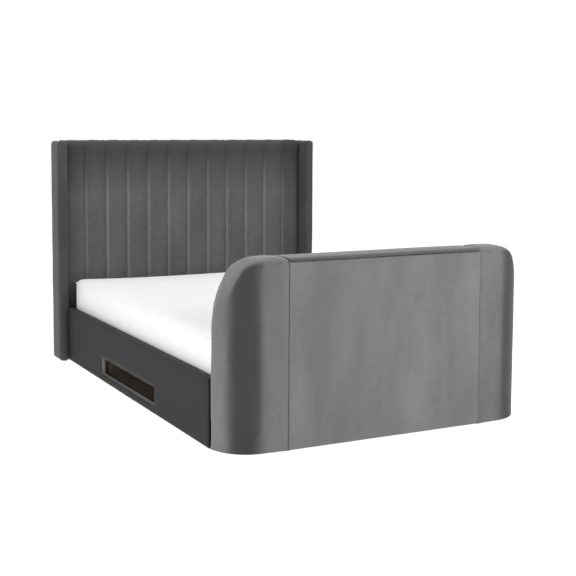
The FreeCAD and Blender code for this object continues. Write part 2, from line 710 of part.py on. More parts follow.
def television_arms():
    """Two upright arms on the crossbar, each with a hole near both ends of the screen pattern."""
    middle = f"({CROSSBAR_TOP} - vesa_drop - vesa_pitch / 2)"
    arms = []
    for side in (-1, 1):
        centre = f"({side} * vesa_pitch / 2)"
        name = f"arm_{side + 2}"
        body = new_body(name)
        low = f"{middle} - vesa_pitch / 2 - vesa_margin"
        sketch = rectangle(body, f"{name}_outline", "XZ_Plane",
                           (f"{centre} - arm_width / 2", f"{centre} + arm_width / 2"),
                           (low, CROSSBAR_TOP), f"-({CROSSBAR_FRONT} + arm_plate)")
        pad(body, sketch, "arm_plate")
        holes = body.newObject("Sketcher::SketchObject", f"{name}_holes")
        holes.AttachmentSupport = (origin_plane(body, "XZ_Plane"), [""])
        holes.MapMode = "FlatFace"
        for end in (-1, 1):
            height = f"{middle} + {end} * vesa_pitch / 2"
            centre_point = Vector(number(centre), number(height), 0)
            hole = holes.addGeometry(Part.Circle(centre_point, UP, number("vesa_hole")))
            for kind, formula in (("DistanceX", centre), ("DistanceY", height)):
                row = holes.addConstraint(
                    Sketcher.Constraint(kind, -1, 1, hole, 3, number(formula)))
                holes.setExpression(f"Constraints[{row}]", sz(formula))
            row = holes.addConstraint(Sketcher.Constraint("Radius", hole, number("vesa_hole")))
            holes.setExpression(f"Constraints[{row}]", sz("vesa_hole"))
        pocket(body, holes)
        arms.append(body)
    keep(group("tv_arms", arms))


def lid_brackets():
    """Two angles that stand on the crossbar and carry the lid."""
    brackets = []
    for side in (-1, 1):
        across = (f"{side} * lid_bracket_offset - lid_bracket_width / 2",
                  f"{side} * lid_bracket_offset + lid_bracket_width / 2")
        face = CROSSBAR_FRONT
        upright = box(f"lid_upright_{side + 2}", across, (f"{face} - lid_bracket_plate", face),
                      (CROSSBAR_TOP, LID_BOARD_BOTTOM))
        flange = box(f"lid_flange_{side + 2}", across,
                     (f"{face} - lid_bracket_plate", f"{BAY_BACK} - lid_bracket_gap"),
                     (f"{LID_BOARD_BOTTOM} - lid_bracket_plate", LID_BOARD_BOTTOM))
        brackets.append(fuse(f"lid_bracket_{side + 2}", upright, flange))
    keep(group("lid_brackets", brackets))


def lift_drive():
    """The geared motor beside the column's foot, and the control box on the front board."""
    gearbox = box("lift_gearbox", ("column_width / 2", "column_width / 2 + gearbox_length"),
                  (f"{LIFT_Y} - column_depth / 2", f"{LIFT_Y} + column_depth / 2"),
                  (COLUMN_FOOT, f"{COLUMN_FOOT} + gearbox_height"))
    motor = rod("lift_motor_can", "motor_radius", "motor_length", "+X",
                "column_width / 2 + gearbox_length", LIFT_Y, f"{COLUMN_FOOT} + gearbox_height / 2")
    keep(fuse("lift_motor", gearbox, motor))
    keep(box("control_box", ("-control_offset - control_length", "-control_offset"),
             (BAY_FRONT, f"{BAY_FRONT} + control_depth"),
             (f"{BASE_TOP} + control_rise", f"{BASE_TOP} + control_rise + control_height")))


lift_column()
keep(tube("lift_mast", MAST_HALF_X, MAST_HALF_Y, "column_wall", MAST_BOTTOM, CROSSBAR_TOP))
lift_screw_and_nut()
keep(box("tv_crossbar", ("-crossbar_length / 2", "crossbar_length / 2"),
         (f"{LIFT_Y} + {MAST_HALF_Y}", CROSSBAR_FRONT), (CROSSBAR_BOTTOM, CROSSBAR_TOP)))
television_arms()
lid_brackets()
lift_drive()

# ---------------------------------------------------------------- glides
WING_MIDDLE = f"({RAIL_OUTER} + wing_width / 2)"
GLIDE_SPOTS = [
    (WING_MIDDLE, f"{WING_FRONT} + wing_width / 2"),
    (WING_MIDDLE, f"{HALF_LENGTH} - wing_width / 2"),
    (f"({RAIL_SKIN} - rail_board / 2)", f"{MEDIA_HEAD_END} + media_wall"),
    (f"({RAIL_SKIN} - rail_board / 2)", f"{MEDIA_RUN[0]} - media_wall"),
    (f"({LID_HALF} + end_panel / 2)", f"{FOOT_FRONT} + foot_depth / 2"),
    (f"({LID_HALF} / 2)", f"{FOOT_INNER} - inner_pad - inner_board / 2"),
    (f"({RAIL_OUTER} / 2)", f"{HEAD_TIMBER_Y} + head_timber / 2"),
]
glides = []
for row, (x, y) in enumerate(GLIDE_SPOTS, start=1):
    glides.append(rod(f"glide_{row}", "glide_radius", "glide_height", "+Z", f"-{x}", y, "0"))
left_glides = group("left_glides", glides)
keep(group("glides", [left_glides, mirrored("right_glides", left_glides)]))

# ---------------------------------------------------------------- right-hand twins
for piece in list(nodes):
    if piece.Label.endswith("_left"):
        keep(mirrored(piece.Label.replace("_left", "_right"), piece))

doc.recompute()

# ---------------------------------------------------------------- checks and files
for thing in doc.Objects:
    if any(word in ("Invalid", "Error") for word in thing.State):
        raise RuntimeError(f"{thing.Label} did not build: {thing.State}")

os.makedirs("parts", exist_ok=True)
for piece in nodes:
    shape = piece.Shape
    if shape.isNull() or not shape.isValid() or not shape.Solids:
        raise RuntimeError(f"{piece.Label} is not a sound solid")
    shape.exportStep(os.path.join("parts", f"{piece.Label}.step"))
print(len(nodes), "nodes written")
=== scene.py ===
"""An upholstered television bed: a winged, channelled headboard, rails with media pockets,
a mattress, and a round-cornered footboard whose lid rises with a television lift."""

import json
import math
import random

import bmesh
import bpy
from bpy.props import FloatProperty, FloatVectorProperty, PointerProperty
from mathutils import Matrix, Vector, noise


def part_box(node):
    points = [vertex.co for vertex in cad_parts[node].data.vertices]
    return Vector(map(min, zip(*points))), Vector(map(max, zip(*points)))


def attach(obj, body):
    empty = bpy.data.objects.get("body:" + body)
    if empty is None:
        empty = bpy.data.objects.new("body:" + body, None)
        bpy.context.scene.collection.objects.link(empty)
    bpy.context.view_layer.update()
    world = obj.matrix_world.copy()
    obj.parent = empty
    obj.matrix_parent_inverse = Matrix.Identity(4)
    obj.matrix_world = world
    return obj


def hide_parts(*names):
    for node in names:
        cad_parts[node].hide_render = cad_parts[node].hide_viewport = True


bl_info = {
    "name": "Television bed",
    "version": (1, 0, 0),
    "blender": (4, 5, 0),
    "location": "View3D > Sidebar > Bed",
    "description": "Builds the upholstery, mattress and finishes of a television bed",
    "category": "Object",
}

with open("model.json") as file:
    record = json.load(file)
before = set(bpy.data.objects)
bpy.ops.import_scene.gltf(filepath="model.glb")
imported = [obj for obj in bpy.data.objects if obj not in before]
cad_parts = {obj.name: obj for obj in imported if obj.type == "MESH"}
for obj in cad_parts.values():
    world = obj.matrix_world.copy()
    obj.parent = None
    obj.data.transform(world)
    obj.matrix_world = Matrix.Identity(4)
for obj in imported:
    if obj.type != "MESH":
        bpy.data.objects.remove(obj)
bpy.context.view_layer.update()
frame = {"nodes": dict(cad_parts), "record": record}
BED = "bed"
CARRIAGE = "lift_carriage"
UP = Vector((0, 0, 1))
EVEN = (1, 1, 1)
PLANK_NAP = (1.0, 1.0, 0.3)
CHANNEL_TURN_DOWN = 0.009


# ------------------------------------------------------------------ places read from the frame
def span(node):
    """A CAD node's lowest and highest corners."""
    low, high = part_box(node)
    return Vector(low), Vector(high)


CHANNELS = sorted(name for name in frame["nodes"] if name.startswith("headboard_channel_"))


# ------------------------------------------------------------------ settings
class BedSizes(bpy.types.PropertyGroup):
    """Sizes of the upholstery that the frame doesn't fix."""

    channel_crown: FloatProperty(
        name="Channel crown", description="How far a channel's middle stands over its seams",
        default=0.019, unit="LENGTH")
    channel_roll: FloatProperty(
        name="Channel roll", description="Radius of a channel's roll over the top edge",
        default=0.032, unit="LENGTH")
    shoulder_radius: FloatProperty(
        name="Shoulder radius", description="Tight upper curve of a footboard end",
        default=0.110, unit="LENGTH")
    flank_radius: FloatProperty(
        name="Flank radius", description="Long lower curve of a footboard end",
        default=0.450, unit="LENGTH")
    shoulder_turn: FloatProperty(
        name="Shoulder turn", description="How far the upper curve turns",
        default=math.radians(60), unit="ROTATION")
    plan_radius: FloatProperty(
        name="Plan radius", description="Front corner of a footboard end, seen from above",
        default=0.160, unit="LENGTH")
    panel_round: FloatProperty(
        name="Panel rounding", description="Rounded edge of a flat padded panel",
        default=0.0035, unit="LENGTH")
    wing_round: FloatProperty(
        name="Wing rounding", description="Rounded edge of a wing",
        default=0.014, unit="LENGTH")
    mattress_round: FloatProperty(
        name="Mattress rounding", description="Rounded edge of the mattress",
        default=0.018, unit="LENGTH")
    mattress_corner: FloatProperty(
        name="Mattress corner", description="Corner radius of the mattress, seen from above",
        default=0.040, unit="LENGTH")
    piping: FloatProperty(
        name="Piping", description="Radius of the mattress's edge piping",
        default=0.0026, unit="LENGTH")


class BedColours(bpy.types.PropertyGroup):
    """Colours of the fabrics and boards."""

    velvet: FloatVectorProperty(
        name="Velvet", description="The upholstery's own colour", subtype="COLOR",
        size=3, default=(0.135, 0.135, 0.135))
    ticking: FloatVectorProperty(
        name="Ticking", description="The mattress's knitted cover", subtype="COLOR",
        size=3, default=(0.85, 0.85, 0.85))
    lining: FloatVectorProperty(
        name="Lining", description="The cloth behind the headboard", subtype="COLOR",
        size=3, default=(0.018, 0.018, 0.019))
    dark_board: FloatVectorProperty(
        name="Dark board", description="The media pockets' boards", subtype="COLOR",
        size=3, default=(0.088, 0.064, 0.046))


def sizes():
    """The sizes in use."""
    return bpy.context.scene.bed_sizes


def colours():
    """The colours in use."""
    return bpy.context.scene.bed_colours


# ------------------------------------------------------------------ shader writing
class Value:
    """A socket that number expressions can be written on."""

    def __init__(self, shader, socket):
        self.shader = shader
        self.socket = socket

    def maths(self, operation, first, second=0.0):
        return self.shader.node("ShaderNodeMath", {"operation": operation}, {0: first, 1: second})

    def __add__(self, other):
        return self.maths("ADD", self, other)

    def __radd__(self, other):
        return self.maths("ADD", other, self)

    def __sub__(self, other):
        return self.maths("SUBTRACT", self, other)

    def __rsub__(self, other):
        return self.maths("SUBTRACT", other, self)

    def __mul__(self, other):
        return self.maths("MULTIPLY", self, other)

    def __rmul__(self, other):
        return self.maths("MULTIPLY", other, self)

    def __pow__(self, other):
        return self.maths("POWER", self, other)


class Shader:
    """A material whose nodes are written as expressions."""

    def __init__(self, name):
        self.material = bpy.data.materials.new(name)
        self.material.use_nodes = True
        self.tree = self.material.node_tree
        self.tree.nodes.clear()

    def node(self, kind, settings=None, inputs=None, output=0):
        """A new node with its settings and its sockets' values or links, as one of its outputs."""
        made = self.tree.nodes.new(kind)
        for key, value in (settings or {}).items():
            setattr(made, key, value)
        for key, value in (inputs or {}).items():
            socket = self.find(made, key)
            if isinstance(value, Value):
                self.tree.links.new(value.socket, socket)
            else:
                socket.default_value = value
        outputs = [socket for socket in made.outputs if socket.enabled]
        return Value(self, outputs[output])

    def find(self, made, key):
        if isinstance(key, int):
            return made.inputs[key]
        return next(socket for socket in made.inputs if socket.name == key and socket.enabled)

    def place(self, scale=EVEN):
        """Object coordinates, stretched."""
        coordinates = self.tree.nodes.new("ShaderNodeTexCoord")
        where = Value(self, coordinates.outputs["Object"])
        return self.node("ShaderNodeMapping", None, {"Vector": where, "Scale": scale})

    def noise(self, where, scale, detail=2.0, roughness=0.5):
        return self.node("ShaderNodeTexNoise", None, {
            "Vector": where, "Scale": scale, "Detail": detail, "Roughness": roughness})

    def between(self, value, low, high):
        """The value spread out so that low becomes 0 and high becomes 1."""
        return self.node("ShaderNodeMapRange", None, {
            "Value": value, "From Min": low, "From Max": high})

    def mix(self, factor, first, second):
        return self.node("ShaderNodeMix", {"data_type": "RGBA"}, {
            "Factor": factor, "A": first, "B": second})

    def bump(self, height, distance, strength=1.0, under=None):
        inputs = {"Height": height, "Distance": distance, "Strength": strength}
        if under is not None:
            inputs["Normal"] = under
        return self.node("ShaderNodeBump", None, inputs)

    def surface(self, **inputs):
        """The principled shader, with constants on its own sockets, as the material's output."""
        named = {key.replace("_", " "): value for key, value in inputs.items()}
        made = self.node("ShaderNodeBsdfPrincipled", None, named)
        end = self.tree.nodes.new("ShaderNodeOutputMaterial")
        self.tree.links.new(made.socket, end.inputs["Surface"])
        return self.material


def shade(colour, factor):
    """The colour made lighter or darker, with its alpha."""
    return (colour[0] * factor, colour[1] * factor, colour[2] * factor, 1.0)


# ------------------------------------------------------------------ materials
VELVETS = {}


def velvet(name, level, nap=(1.0, 1.0, 0.35), sheen=0.35, painted_light=0.0, painted_shade_height=0.0):
    """Short-pile velvet. The level is painted light and shade: lighter and darker copies of the
    one velvet stand for how the light falls on each piece. The nap is its stretch in space.

    Where the piece's painted-light attribute is 1, its level is multiplied by the painted-light
    factor, a painted highlight or painted shade. With a height for painted shade, the velvet is
    painted darker towards it.
    """
    if name in VELVETS:
        return VELVETS[name]
    shader = Shader(name)
    base = colours().velvet
    fine = shader.noise(shader.place(), 1400.0, 1.0)
    pile = shader.noise(shader.place(nap), 260.0, 2.0)
    brushed = shader.noise(shader.place(nap), 7.0, 3.0, 0.55)
    crushed = shader.noise(shader.place(), 34.0, 3.0, 0.6)
    lie = shader.between(brushed * 0.65 + crushed * 0.2 + pile * 0.15, 0.38, 0.62)
    tone = shader.mix(lie, shade(base, level * 0.86), shade(base, level * 1.14))
    # Painted highlight or painted shade: where the piece is marked, the level is multiplied by the
    # painted-light factor.
    if painted_light:
        factor = 2
        painted_light_mask = shader.node("ShaderNodeAttribute", {"attribute_name": "painted_light"}, None, factor)
        turned = level * painted_light
        other = shader.mix(lie, shade(base, turned * 0.9), shade(base, turned * 1.1))
        tone = shader.mix(painted_light_mask, tone, other)
    # Painted shade: the velvet is painted darker towards the given height.
    if painted_shade_height:
        z, below, above = 2, 0.18, 0.04
        height = shader.node("ShaderNodeSeparateXYZ", None, {"Vector": shader.place()}, z)
        upper = shader.between(height + brushed * 0.16, painted_shade_height - below, painted_shade_height + above)
        tone = shader.mix(upper, tone, shade(base, level * 0.55))
    soft = shader.bump(crushed, 0.0012, 0.35)
    normal = shader.bump(pile * 0.5 + fine * 0.5, 0.0006, 0.55, soft)
    VELVETS[name] = shader.surface(
        Base_Color=tone, Roughness=0.72 + lie * 0.12, Normal=normal,
        Sheen_Weight=sheen, Sheen_Roughness=0.38, Sheen_Tint=(0.82, 0.82, 0.82, 1.0),
        Specular_IOR_Level=0.18)
    return VELVETS[name]


def ticking():
    """The mattress's knitted cover: fine rows of stitches, and a faint large quilt."""
    shader = Shader("white_ticking")
    where = shader.place()
    rows = shader.node("ShaderNodeTexWave", {"wave_type": "BANDS", "bands_direction": "DIAGONAL"},
                       {"Vector": where, "Scale": 260.0, "Distortion": 1.2, "Detail": 1.0},
                       output=1)
    knit = shader.noise(where, 900.0, 2.0)
    cloud = shader.noise(where, 9.0, 3.0)
    base = colours().ticking
    tone = shader.mix(shader.between(cloud, 0.35, 0.65), shade(base, 0.985), shade(base, 1.01))
    normal = shader.bump(rows * 0.6 + knit * 0.4, 0.0004, 0.35)
    return shader.surface(Base_Color=tone, Roughness=0.86 + knit * 0.08, Normal=normal,
                          Sheen_Weight=0.15, Sheen_Roughness=0.5, Specular_IOR_Level=0.2)


def lining():
    """Black non-woven cloth with its dimples from pressing."""
    shader = Shader("black_lining")
    where = shader.place()
    dimples = shader.node("ShaderNodeTexVoronoi", {"feature": "F1"},
                          {"Vector": where, "Scale": 420.0})
    fibres = shader.noise(where, 120.0, 6.0, 0.7)
    base = colours().lining
    tone = shader.mix(fibres, shade(base, 0.7), shade(base, 1.7))
    normal = shader.bump(dimples * 0.6 + fibres * 0.4, 0.0005, 0.6)
    return shader.surface(Base_Color=tone, Roughness=0.8 + fibres * 0.15, Normal=normal,
                          Specular_IOR_Level=0.25)


def wood(name, light, dark, along, gloss=0.55, grain=22.0):
    """Planed wood, its grain drawn out along an axis."""
    shader = Shader(name)
    stretch = [1.0, 1.0, 1.0]
    stretch["XYZ".index(along)] = 0.06
    where = shader.place(tuple(stretch))
    bands = shader.node("ShaderNodeTexWave", {"wave_type": "RINGS", "rings_direction": along},
                        {"Vector": where, "Scale": grain, "Distortion": 5.0, "Detail": 3.0,
                         "Detail Scale": 1.4}, output=1)
    pores = shader.noise(where, 420.0, 3.0, 0.6)
    cloud = shader.noise(shader.place(), 4.0, 2.0)
    mask = shader.between(bands * 0.5 + pores * 0.3 + cloud * 0.2, 0.2, 0.85)
    tone = shader.mix(mask, (*light, 1.0), (*dark, 1.0))
    return shader.surface(Base_Color=tone, Roughness=gloss + pores * 0.2,
                          Normal=shader.bump(pores, 0.0003, 0.4))


def chip_board(name, light, dark):
    """Pressed board: flakes of wood without a direction."""
    shader = Shader(name)
    where = shader.place()
    flakes = shader.node("ShaderNodeTexVoronoi", {"feature": "F1"},
                         {"Vector": where, "Scale": 150.0, "Randomness": 1.0})
    dust = shader.noise(where, 600.0, 2.0)
    tone = shader.mix(shader.between(flakes * 0.7 + dust * 0.3, 0.15, 0.65),
                      (*light, 1.0), (*dark, 1.0))
    return shader.surface(Base_Color=tone, Roughness=0.7 + dust * 0.2,
                          Normal=shader.bump(flakes + dust, 0.0003, 0.4))


def dark_board():
    """The media pockets' dark foil, printed with a straight grain."""
    shader = Shader("dark_board")
    where = shader.place((6.0, 0.5, 6.0))
    grain = shader.noise(where, 30.0, 5.0, 0.65)
    fleck = shader.noise(shader.place((30.0, 2.0, 30.0)), 20.0, 2.0)
    base = colours().dark_board
    tone = shader.mix(shader.between(grain * 0.7 + fleck * 0.3, 0.3, 0.7),
                      shade(base, 0.65), shade(base, 1.5))
    return shader.surface(Base_Color=tone, Roughness=0.48 + grain * 0.15,
                          Normal=shader.bump(fleck, 0.0002, 0.35))


def black_steel():
    """Black powder coat: fine orange peel, with a little dust."""
    shader = Shader("black_steel")
    where = shader.place()
    peel = shader.noise(where, 380.0, 2.0)
    dust = shader.noise(where, 12.0, 4.0, 0.7)
    tone = shader.mix(shader.between(dust, 0.45, 0.8), (0.014, 0.014, 0.015, 1),
                      (0.035, 0.034, 0.033, 1))
    return shader.surface(Base_Color=tone, Roughness=0.36 + dust * 0.25,
                          Normal=shader.bump(peel, 0.0003, 0.4))


def zinc():
    """Zinc plate: cloudy grey with fine turning marks."""
    shader = Shader("zinc_plate")
    where = shader.place()
    cloud = shader.noise(where, 90.0, 3.0)
    marks = shader.noise(shader.place((1, 1, 12)), 200.0, 2.0)
    tone = shader.mix(cloud, (0.42, 0.42, 0.41, 1), (0.68, 0.68, 0.66, 1))
    return shader.surface(Base_Color=tone, Metallic=1.0, Roughness=0.28 + cloud * 0.25,
                          Normal=shader.bump(marks, 0.0001, 0.4))


def black_plastic():
    """Moulded plastic with a fine spark-eroded grain."""
    shader = Shader("black_plastic")
    where = shader.place()
    grain = shader.noise(where, 900.0, 2.0)
    scuff = shader.noise(where, 30.0, 4.0, 0.7)
    tone = shader.mix(shader.between(scuff, 0.5, 0.8), (0.022, 0.022, 0.023, 1),
                      (0.05, 0.05, 0.05, 1))
    return shader.surface(Base_Color=tone, Roughness=0.5 + scuff * 0.2,
                          Normal=shader.bump(grain, 0.0002, 0.5))


def grey_felt():
    """The glides' felt, compacted by pressing."""
    shader = Shader("grey_felt")
    fibres = shader.noise(shader.place(), 700.0, 4.0, 0.7)
    tone = shader.mix(fibres, (0.42, 0.42, 0.41, 1), (0.62, 0.62, 0.60, 1))
    return shader.surface(Base_Color=tone, Roughness=0.85 + fibres * 0.1,
                          Normal=shader.bump(fibres, 0.0006, 0.6), Specular_IOR_Level=0.1)


# ------------------------------------------------------------------ mesh tools
def to_object(name, shape):
    """A bmesh as an object at the origin; the bmesh is freed."""
    mesh = bpy.data.meshes.new(name)
    shape.to_mesh(mesh)
    shape.free()
    thing = bpy.data.objects.new(name, mesh)
    bpy.context.scene.collection.objects.link(thing)
    return thing


def settle(thing):
    """Applies every modifier of the object to its mesh."""
    depsgraph = bpy.context.evaluated_depsgraph_get()
    done = bpy.data.meshes.new_from_object(thing.evaluated_get(depsgraph))
    thing.modifiers.clear()
    thing.data = done
    return thing


def dress(thing, body, material, stands_for=()):
    """Gives a finished piece its body, material and slot, shades it smooth and hides the CAD nodes
    it stands for.
    """
    thing.data.materials.clear()
    thing.data.materials.append(material)
    thing.data.polygons.foreach_set("use_smooth", [True] * len(thing.data.polygons))
    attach(thing, body)
    if stands_for:
        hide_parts(*stands_for)
    return thing


def block(low, high):
    """A bmesh cube between two corners."""
    shape = bmesh.new()
    bmesh.ops.create_cube(shape, size=1.0)
    bmesh.ops.scale(shape, vec=high - low, verts=shape.verts)
    bmesh.ops.translate(shape, vec=(low + high) / 2, verts=shape.verts)
    return shape


def round_edges(shape, edges, radius, segments=3):
    """Rounds some of a bmesh's edges."""
    bmesh.ops.bevel(shape, geom=edges, offset=radius, offset_type="OFFSET", segments=segments,
                    profile=0.5, affect="EDGES", material=-1)


def remesh(thing, voxel):
    """Gives a closed piece an even mesh."""
    change = thing.modifiers.new("Remesh", "REMESH")
    change.mode = "VOXEL"
    change.voxel_size = voxel
    return settle(thing)


def subdivide(thing, levels=1):
    change = thing.modifiers.new("Subdivision", "SUBSURF")
    change.levels = levels
    change.render_levels = levels
    return settle(thing)


def relax(thing, rounds, chosen=None):
    """Smooths the mesh a little, or the part of it that the test picks."""
    shape = bmesh.new()
    shape.from_mesh(thing.data)
    points = [vertex for vertex in shape.verts if chosen is None or chosen(vertex.co)]
    for _ in range(rounds):
        bmesh.ops.smooth_vert(shape, verts=points, factor=0.5,
                              use_axis_x=True, use_axis_y=True, use_axis_z=True)
    shape.to_mesh(thing.data)
    shape.free()
    return thing


def mirrored(thing, name):
    """A mirror twin across the bed's long middle plane."""
    shape = bmesh.new()
    shape.from_mesh(thing.data)
    bmesh.ops.scale(shape, vec=(-1, 1, 1), verts=shape.verts)
    bmesh.ops.reverse_faces(shape, faces=shape.faces)
    return to_object(name, shape)


def inflate(thing, pressure, cap, held=None, frames=18, growth=0.0):
    """Swells a soft piece by cloth simulation, with the held points fixed.

    No point ends further than the cap from where it began, and the approach to it is gradual.
    """
    stiffness = 12.0
    began = [vertex.co.copy() for vertex in thing.data.vertices]
    change = thing.modifiers.new("Cloth", "CLOTH")
    cloth = change.settings
    cloth.quality = 5
    cloth.mass = 0.35
    cloth.tension_stiffness = stiffness
    cloth.compression_stiffness = stiffness
    cloth.shear_stiffness = stiffness * 0.5
    cloth.bending_stiffness = 0.6
    cloth.tension_damping = 12.0
    cloth.air_damping = 4.0
    cloth.shrink_min = -growth
    cloth.use_pressure = True
    cloth.uniform_pressure_force = pressure
    cloth.effector_weights.gravity = 0.0
    change.collision_settings.use_collision = False
    if held is not None:
        pins = thing.vertex_groups.new(name="held")
        pins.add([v.index for v in thing.data.vertices if held(v.co)], 1.0, "REPLACE")
        cloth.vertex_group_mass = "held"
    scene = bpy.context.scene
    for step in range(1, frames + 1):
        scene.frame_set(step)
    settle(thing)
    scene.frame_set(1)
    for vertex, start in zip(thing.data.vertices, began):
        move = vertex.co - start
        if move.length > 1e-9:
            vertex.co = start + move.normalized() * cap * math.tanh(move.length / cap)
    thing.vertex_groups.clear()
    return thing


def ripple(thing, amount, scale, seed, axis=None):
    """Moves the points by smooth noise, along an axis or along their normals."""
    offset = Vector((seed * 3.7, seed * 1.3, seed * 2.1))
    facing = [vertex.normal.copy() for vertex in thing.data.vertices]
    for vertex, normal in zip(thing.data.vertices, facing):
        along = axis if axis is not None else normal
        vertex.co += along * amount * noise.noise(vertex.co * scale + offset)
    return thing


def slab(low, high, cell, radius, crown=0.0, thin=1):
    """A flat pad between two corners, thin along one axis (1 is Y), as a fine closed mesh.

    Its outer face is the low side of that axis. Its edges there are rounded, and its middle
    stands out by the crown.
    """
    across = [axis for axis in range(3) if axis != thin]
    size = high - low
    cells = [max(4, round(size[axis] / cell)) for axis in across]
    shape = bmesh.new()
    bmesh.ops.create_grid(shape, x_segments=cells[0], y_segments=cells[1], size=0.5)
    for vertex in shape.verts:
        u, v = vertex.co.x + 0.5, vertex.co.y + 0.5
        spot = low.copy()
        spot[across[0]] += u * size[across[0]]
        spot[across[1]] += v * size[across[1]]
        bulge = (1 - (2 * u - 1) ** 4) * (1 - (2 * v - 1) ** 4)
        spot[thin] -= crown * bulge
        vertex.co = spot
    rim = [edge for edge in shape.edges if edge.is_boundary]
    away = Vector((0, 0, 0))
    away[thin] = size[thin]
    made = bmesh.ops.extrude_face_region(shape, geom=shape.faces[:])
    back = [item for item in made["geom"] if isinstance(item, bmesh.types.BMVert)]
    bmesh.ops.translate(shape, vec=away, verts=back)
    bmesh.ops.recalc_face_normals(shape, faces=shape.faces)
    round_edges(shape, [edge for edge in rim if edge.is_valid], radius)
    return shape


# ------------------------------------------------------------------ headboard
def channel_path(low, high, run):
    """A place on the channel's outer line, its outward direction, and how near the top it is."""
    roll, turn_down = sizes().channel_roll, CHANNEL_TURN_DOWN
    rise = high.z - roll - low.z
    bend = roll * math.pi / 2
    flat = high.y - turn_down - (low.y + roll)
    if run < rise:
        near_top = max(0.0, 1 - (rise - run) / 0.05)
        return Vector((0, low.y, low.z + run)), Vector((0, -1, 0)), near_top
    if run < rise + bend:
        turn = (run - rise) / roll
        out = Vector((0, -math.cos(turn), math.sin(turn)))
        return Vector((0, low.y + roll, high.z - roll)) + out * roll, out, 1.0
    if run < rise + bend + flat:
        return Vector((0, low.y + roll + run - rise - bend, high.z)), UP.copy(), 1.0
    turn = (run - rise - bend - flat) / turn_down
    out = Vector((0, math.sin(turn), math.cos(turn)))
    return Vector((0, high.y - turn_down, high.z - turn_down)) + out * turn_down, out, 1.0


def channel(name):
    """One padded channel: over the board's face and top edge, crowned between its seams."""
    low, high = span(name)
    back_lap, overlap = 0.0025, 0.0012
    high.y += back_lap
    crown, roll, turn_down = sizes().channel_crown, sizes().channel_roll, CHANNEL_TURN_DOWN
    length = (high.z - roll - low.z + roll * math.pi / 2
              + high.y - turn_down - (low.y + roll) + turn_down * math.pi / 2)
    shape = bmesh.new()
    bmesh.ops.create_grid(shape, x_segments=18, y_segments=124, size=0.5)
    for vertex in shape.verts:
        across = vertex.co.x * 2
        spot, out, near_top = channel_path(low, high, (vertex.co.y + 0.5) * length)
        depth = crown * (1 - 0.62 * near_top)
        swell = (1 - abs(across) ** 2.2) ** 0.7
        spot.x = (low.x + high.x) / 2 + across * ((high.x - low.x) / 2 + overlap)
        vertex.co = spot - out * depth * (1 - 0.9 * swell)
    bmesh.ops.recalc_face_normals(shape, faces=shape.faces)
    lowest_face = min(shape.faces, key=lambda face: face.calc_center_median().z)
    if lowest_face.normal.y > 0:
        bmesh.ops.reverse_faces(shape, faces=shape.faces)
    piece = to_object(f"{name}_cover", shape)
    edge = 0.0004

    def at_seam(point):
        return (point.x < low.x + edge or point.x > high.x - edge
                or point.z < low.z + edge or point.y > high.y - edge)

    inflate(piece, 2.6, crown * 0.25, at_seam, frames=14, growth=0.010)
    ripple(piece, 0.0009, 9.0, CHANNELS.index(name))
    thick = piece.modifiers.new("Solidify", "SOLIDIFY")
    thick.thickness = 0.003
    thick.offset = -1
    settle(piece)
    subdivide(piece)
    # Painted highlight: a bright line marked along each channel's left edge.
    marks = piece.data.attributes.new("painted_light", "FLOAT", "POINT")
    for vertex, mark in zip(piece.data.vertices, marks.data):
        across = (vertex.co.x - low.x) / (high.x - low.x)
        mark.value = math.exp(-((across - 0.06) / 0.06) ** 2)
    # Painted shade: the channels take a darker copy of the velvet, and the last one a darker one
    # still, for the wing's shadow on it.
    kind, level = "velvet_channel", 0.64
    if name == CHANNELS[-1]:
        kind, level = "velvet_channel_shaded", 0.46
    # Painted shade: each channel is painted darker towards its top.
    fabric = velvet(kind, level, painted_light=1.7, painted_shade_height=high.z - 0.03)
    return dress(piece, BED, fabric, [name])


def wing():
    """Both wings: upright pads with softly rounded edges."""
    low, high = span("wing_cover_left")
    skin = Vector((0.0015, 0.002, 0.002))
    shape = block(low + Vector((skin.x, skin.y, 0)), high - skin)
    edges = [edge for edge in shape.edges
             if edge.calc_length() > 0.3 or max(v.co.z for v in edge.verts) > high.z - 0.1]
    round_edges(shape, edges, sizes().wing_round, 4)
    left = remesh(to_object("wing_left", shape), 0.0075)
    inflate(left, 3.5, 0.003, lambda point: point.z < low.z + 0.02 or point.y > high.y - 0.02,
            growth=0.01)
    ripple(left, 0.0012, 7.0, 21)
    subdivide(left)
    right = mirrored(left, "wing_right")
    for piece, node in ((left, "wing_cover_left"), (right, "wing_cover_right")):
        # Painted light and shade: the wings take a darker copy of the velvet, set for how the light
        # falls on them.
        dress(piece, BED, velvet("velvet_wing", 0.37), [node])


def lower_pad():
    """The flat pad below the channels, behind the bed base."""
    low, high = span("headboard_lower_pad")
    piece = to_object("headboard_lower_pad_cover", slab(low, high, 0.02, 0.006))
    ripple(piece, 0.001, 6.0, 31, Vector((0, 1, 0)))
    dress(piece, BED, velvet("velvet_wing", 0.37), ["headboard_lower_pad"])


